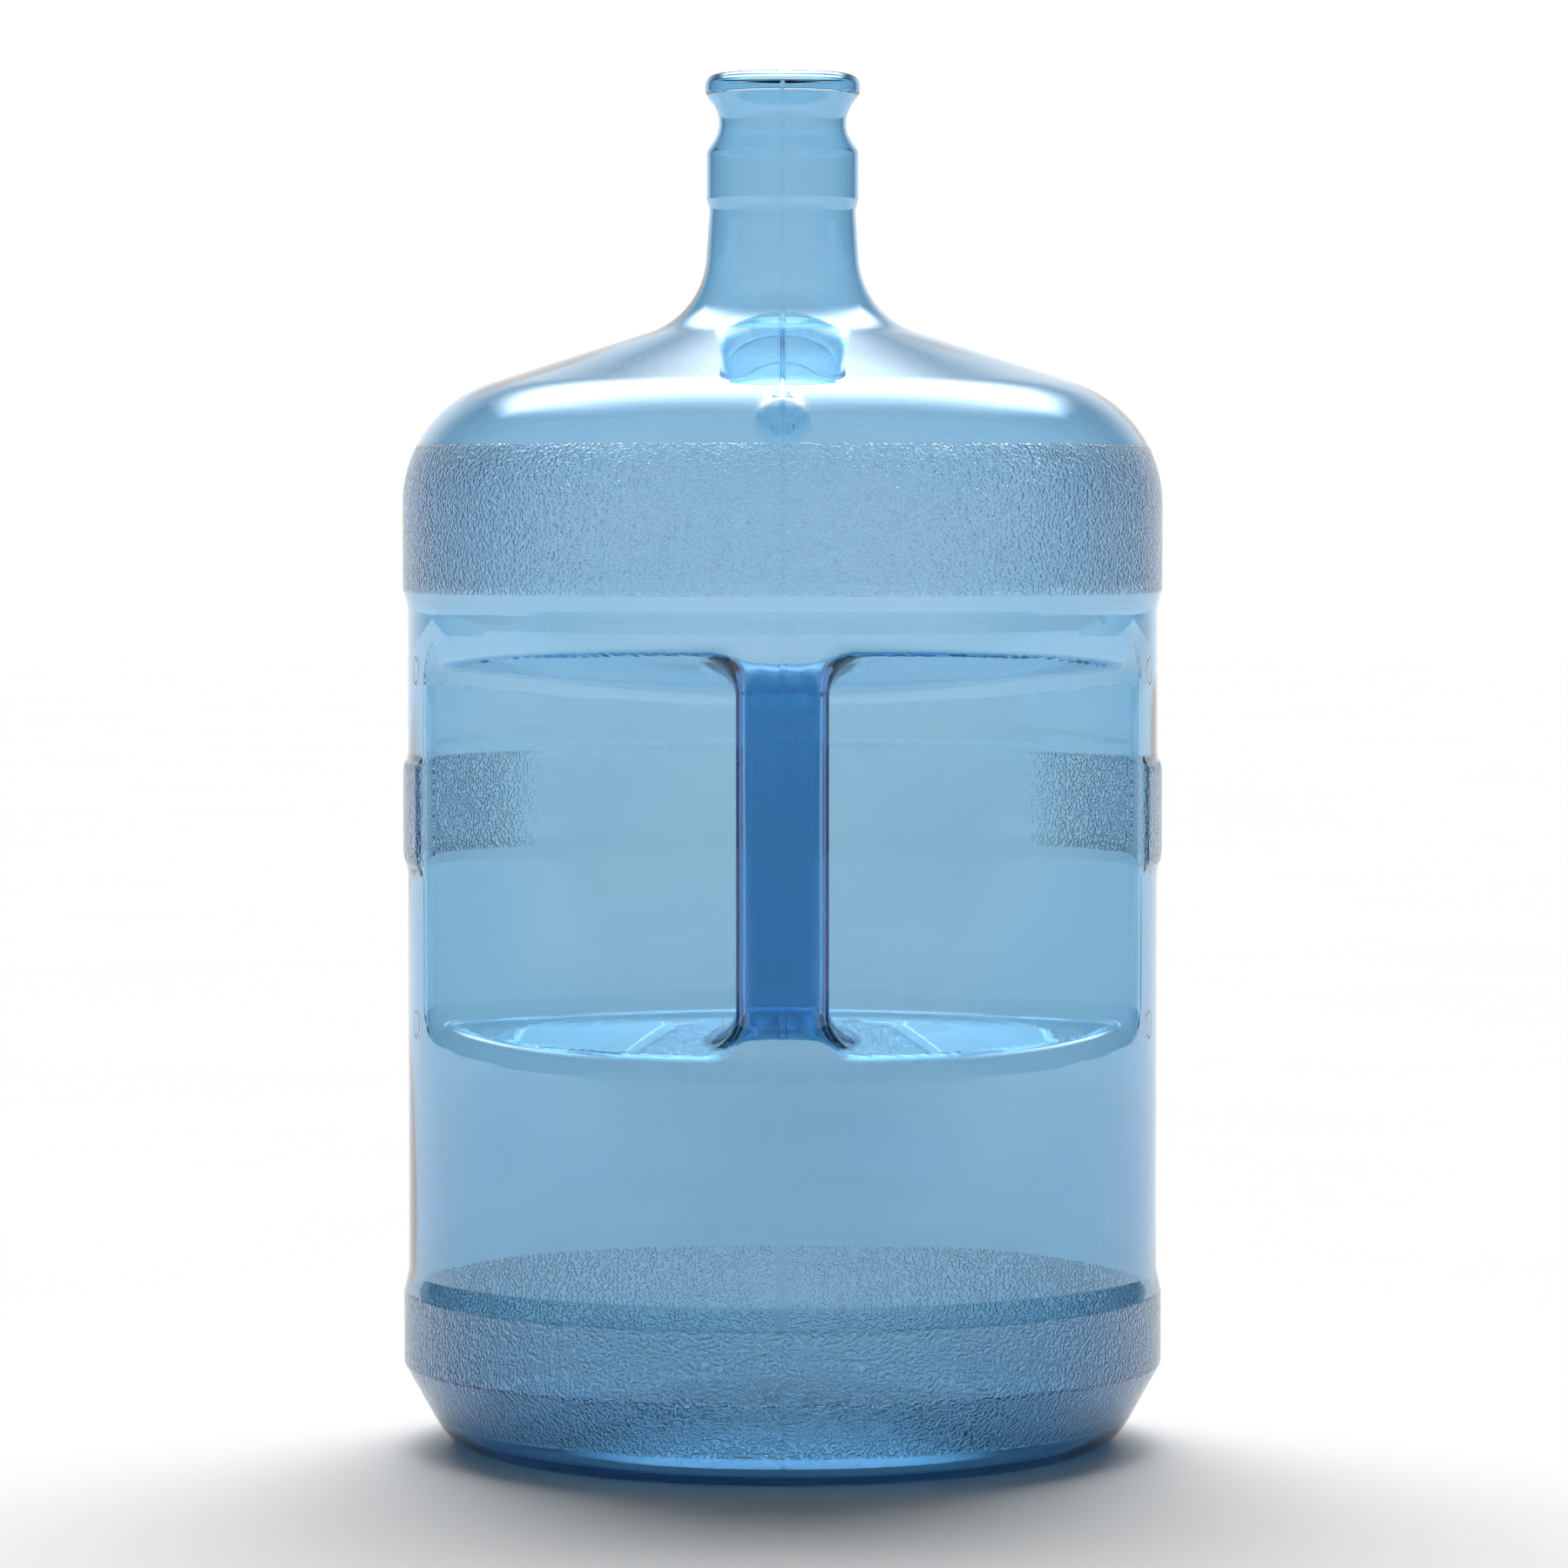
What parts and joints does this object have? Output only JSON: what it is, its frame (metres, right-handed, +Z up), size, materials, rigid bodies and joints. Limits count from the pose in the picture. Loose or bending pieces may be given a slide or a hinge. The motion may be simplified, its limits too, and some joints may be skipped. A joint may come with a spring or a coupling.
{
  "type": "water jug",
  "caption": "Tall round clear blue water jug with a narrow snap-cap neck, stippled grip bands and a hollow carrying handle moulded across a recess in its side.",
  "frame": {"origin": "centre of the foot ring, on the surface that the jug stands on", "axes": "+Z up through the neck, handle and recess face -Y, mould parting plane is X = 0"},
  "size_m": [0.2708, 0.2708, 0.488],
  "materials": {
    "clear_blue": "glossy, transparent, blue tint",
    "stippled_blue": "stippled outside, transparent, blue tint"
  },
  "bodies": {
    "root": {"base_dome": "clear_blue", "heel": "stippled_blue", "lower_grip_band": "stippled_blue", "lower_wall": "clear_blue", "recess_sill": "clear_blue", "recess_back_wall": "clear_blue", "recess_lintel": "clear_blue", "handle_grip": "clear_blue", "rear_wall_lower": "clear_blue", "mid_grip_band": "stippled_blue", "rear_wall_upper": "clear_blue", "upper_grip_band": "stippled_blue", "shoulder": "clear_blue", "neck": "clear_blue", "neck_collar": "clear_blue", "neck_rim": "clear_blue"}
  },
  "joints": []
}
